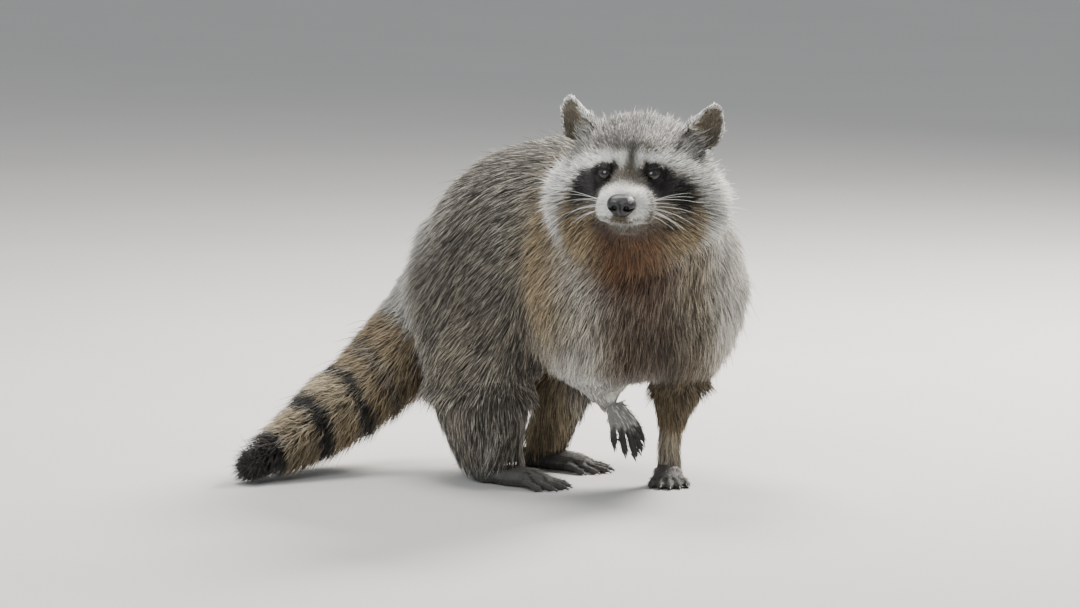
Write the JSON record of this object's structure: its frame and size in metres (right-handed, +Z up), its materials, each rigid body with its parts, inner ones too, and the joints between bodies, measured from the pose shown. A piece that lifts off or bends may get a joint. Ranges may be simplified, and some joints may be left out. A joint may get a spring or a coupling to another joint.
{
  "type": "raccoon figure",
  "caption": "Life-size standing raccoon in mid-stride with one forepaw lifted, the head turned to the viewer and a ringed tail trailing low behind.",
  "frame": {"origin": "on the floor, under the middle of the model's bounding box", "axes": "+Z up; the trunk faces -Y, the animal's left side is +X, and the head is turned towards -X"},
  "size_m": [0.3464, 0.4268, 0.3476],
  "materials": {
    "body_coat": "long grizzled grey-brown fur",
    "face_coat": "short pale fur with a black mask",
    "tail_coat": "thick fur ringed dark and tan",
    "paw_skin": "dull, finely creased, with very short hair",
    "nose": "moist and pebbled",
    "eye": "wet and glossy"
  },
  "bodies": {
    "root": {"belly": "body_coat", "chest": "body_coat", "ear_left": "face_coat", "ear_right": "face_coat", "eye_left": "eye", "eye_right": "eye", "forearm_left": "body_coat", "forearm_right": "body_coat", "forepaw_left": "paw_skin", "forepaw_right": "paw_skin", "head": "face_coat", "hindpaw_left": "paw_skin", "hindpaw_right": "paw_skin", "neck": "body_coat", "nose": "nose", "rump": "body_coat", "shin_left": "body_coat", "shin_right": "body_coat", "shoulder_left": "body_coat", "shoulder_right": "body_coat", "tail_base": "tail_coat", "tail_end": "tail_coat", "tail_middle": "tail_coat", "tail_tip": "tail_coat", "thigh_left": "body_coat", "thigh_right": "body_coat"}
  },
  "joints": []
}
